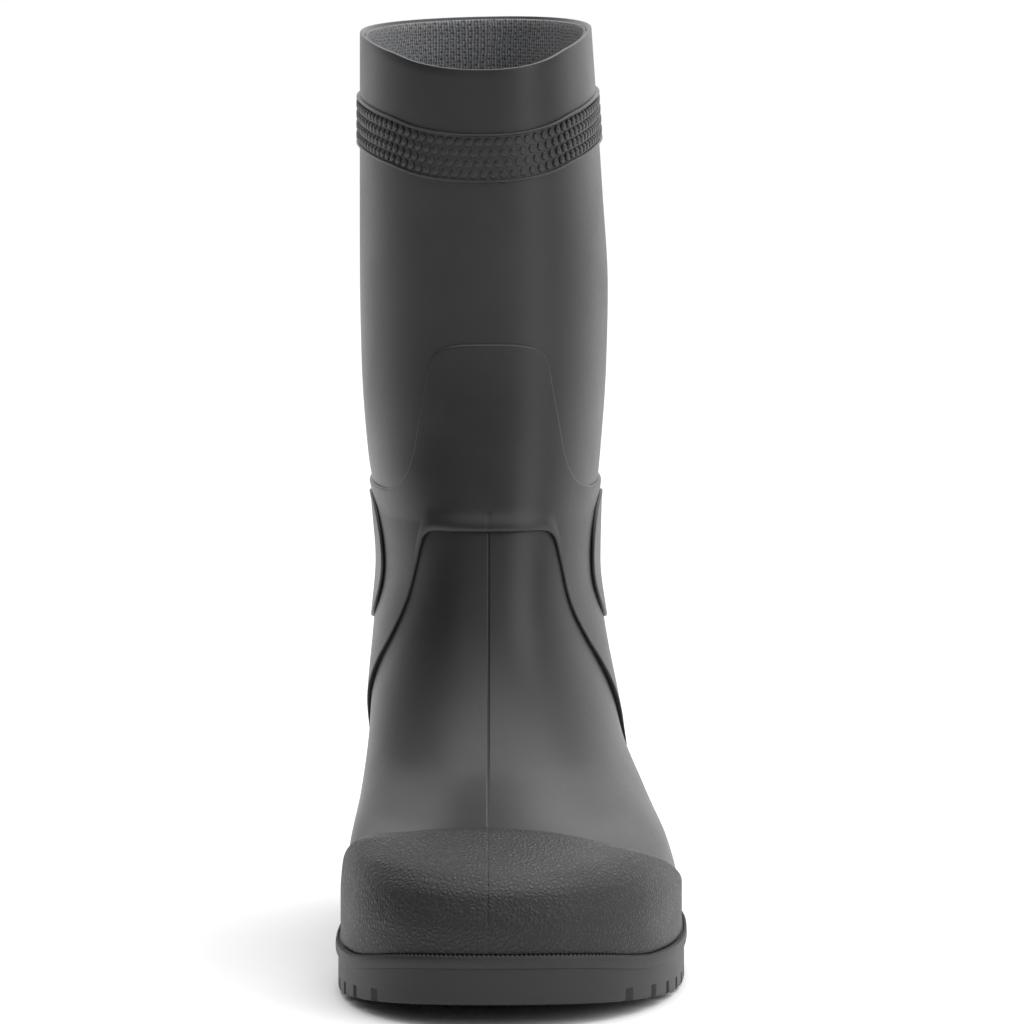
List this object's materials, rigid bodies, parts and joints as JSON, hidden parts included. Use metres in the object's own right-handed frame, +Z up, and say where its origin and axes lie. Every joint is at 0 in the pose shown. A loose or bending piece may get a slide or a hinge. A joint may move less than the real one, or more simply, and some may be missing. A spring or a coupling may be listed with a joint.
{
  "type": "rubber rain boot",
  "caption": "Mid-height black rubber rain boot for the left foot, with grip band, ankle cover, grained toe guard, lugged sole and loose insole.",
  "frame": {"origin": "on the ground under the middle of the boot's bounding box", "axes": "+Z up, -Y towards the toe, -X towards the big-toe side"},
  "size_m": [0.12, 0.3037, 0.3215],
  "materials": {
    "upper_rubber": "satin",
    "trim_rubber": "satin",
    "grained_rubber": "grained matte",
    "sole_rubber": "matte",
    "knit_lining": "knitted",
    "fibre_board": "matte",
    "insole_foam": "matte",
    "insole_fabric": "knitted"
  },
  "bodies": {
    "boot": {"upper_shell": "upper_rubber", "grip_band": "trim_rubber", "ankle_cover": "upper_rubber", "ankle_guard_inner": "trim_rubber", "ankle_guard_outer": "trim_rubber", "toe_guard": "grained_rubber", "kickoff_spur": "trim_rubber", "welt": "sole_rubber", "outsole": "sole_rubber", "lining": "knit_lining", "insole_board": "fibre_board"},
    "insole": {"insole_foam": "insole_foam", "insole_cover": "insole_fabric"}
  },
  "joints": [
    {"name": "insole_lift", "type": "hinge", "parent": "boot", "child": "insole", "pos_m": [-0.008, -0.1415, 0.0212], "axis": [1, 0, 0], "range_deg": [0, 3]}
  ]
}
